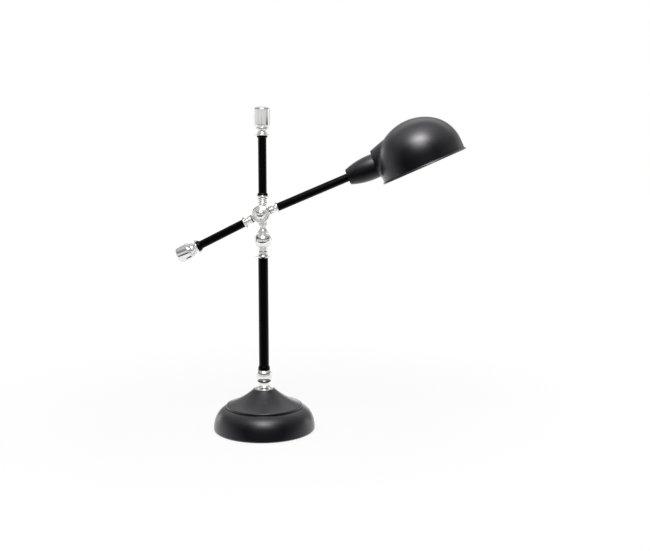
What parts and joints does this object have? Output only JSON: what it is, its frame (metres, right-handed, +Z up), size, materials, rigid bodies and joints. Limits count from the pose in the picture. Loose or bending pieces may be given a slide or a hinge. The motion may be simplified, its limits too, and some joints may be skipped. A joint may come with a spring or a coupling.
{
  "type": "counterweight balance desk lamp",
  "caption": "Balance desk lamp: weighted two-tier base, swivelling post, arm tilting at a knuckle with a round shade at one end and a counterweight finial at the other.",
  "frame": {"origin": "centre of the felt pad under the post, on the face that the lamp rests on", "axes": "+Z up along the post, +X the way the front arm reaches, +Y to the back, where the cord inlet is"},
  "size_m": [0.4597, 0.1676, 0.5228],
  "materials": {
    "black_enamel": "satin black powder-coated spun steel, even and slightly soft in its highlights",
    "black_tube": "satin black lacquered steel tube",
    "black_ferrule": "satin black lacquered ferrules",
    "polished_chrome": "polished chrome-plated turned fittings",
    "black_fibre": "matte black fibre washers",
    "zinc_steel": "dull zinc-plated steel hardware",
    "cast_iron_ballast": "rough painted cast iron",
    "felt": "dark felt",
    "rubber_bush": "black rubber",
    "black_phenolic": "matte black moulded lampholder",
    "white_insulator": "glazed white insulating block",
    "brass_contact": "plain brass",
    "bulb_aluminium": "stamped aluminium screw cap",
    "opal_glass": "opal glass globe"
  },
  "bodies": {
    "base": {"base_shell": "black_enamel", "ballast_weight": "cast_iron_ballast", "base_pad": "felt", "cord_grommet": "rubber_bush", "base_washer": "zinc_steel", "base_nut": "zinc_steel", "swivel_stem": "zinc_steel", "base_flange": "polished_chrome", "stem_ring_nut": "zinc_steel"},
    "post": {"swivel_washer": "black_fibre", "base_ball": "polished_chrome", "lower_collar": "black_ferrule", "lower_tube": "black_tube", "saucer_flange": "polished_chrome", "post_ball": "polished_chrome", "post_neck": "polished_chrome", "post_hub": "polished_chrome", "friction_washer": "black_fibre", "upper_neck": "polished_chrome", "upper_collar_low": "black_ferrule", "upper_tube": "black_tube", "upper_collar_high": "black_ferrule", "top_finial": "polished_chrome"},
    "arm": {"arm_hub": "polished_chrome", "pivot_cap": "polished_chrome", "pivot_screw": "zinc_steel", "spring_washer": "zinc_steel", "acorn_nut": "polished_chrome", "front_washer": "black_fibre", "front_connector": "polished_chrome", "front_tube": "black_tube", "holder_nipple": "zinc_steel", "nipple_nut": "zinc_steel", "rear_washer": "black_fibre", "rear_connector": "polished_chrome", "rear_tube": "black_tube", "rear_collar": "black_ferrule", "rear_finial": "polished_chrome"},
    "head": {"socket_cover": "black_enamel", "lampholder": "black_phenolic", "contact_block": "white_insulator", "screw_shell": "brass_contact", "centre_contact": "brass_contact", "bulb_cap": "bulb_aluminium", "bulb_glass": "opal_glass", "shade": "black_enamel", "shade_ring": "black_phenolic"}
  },
  "joints": [
    {"name": "post_swivel", "type": "hinge", "parent": "base", "child": "post", "pos_m": [0, 0, 0.0793], "axis": [0, 0, 1], "range_deg": [-170, 170]},
    {"name": "arm_tilt", "type": "hinge", "parent": "post", "child": "arm", "pos_m": [0, -0.014, 0.354], "axis": [0, -1, 0], "range_deg": [-73, 32]},
    {"name": "shade_swivel", "type": "hinge", "parent": "arm", "child": "head", "pos_m": [0, -0.014, 0.354], "axis": [0.9205, 0, 0.3907], "range_deg": [-90, 90]}
  ]
}
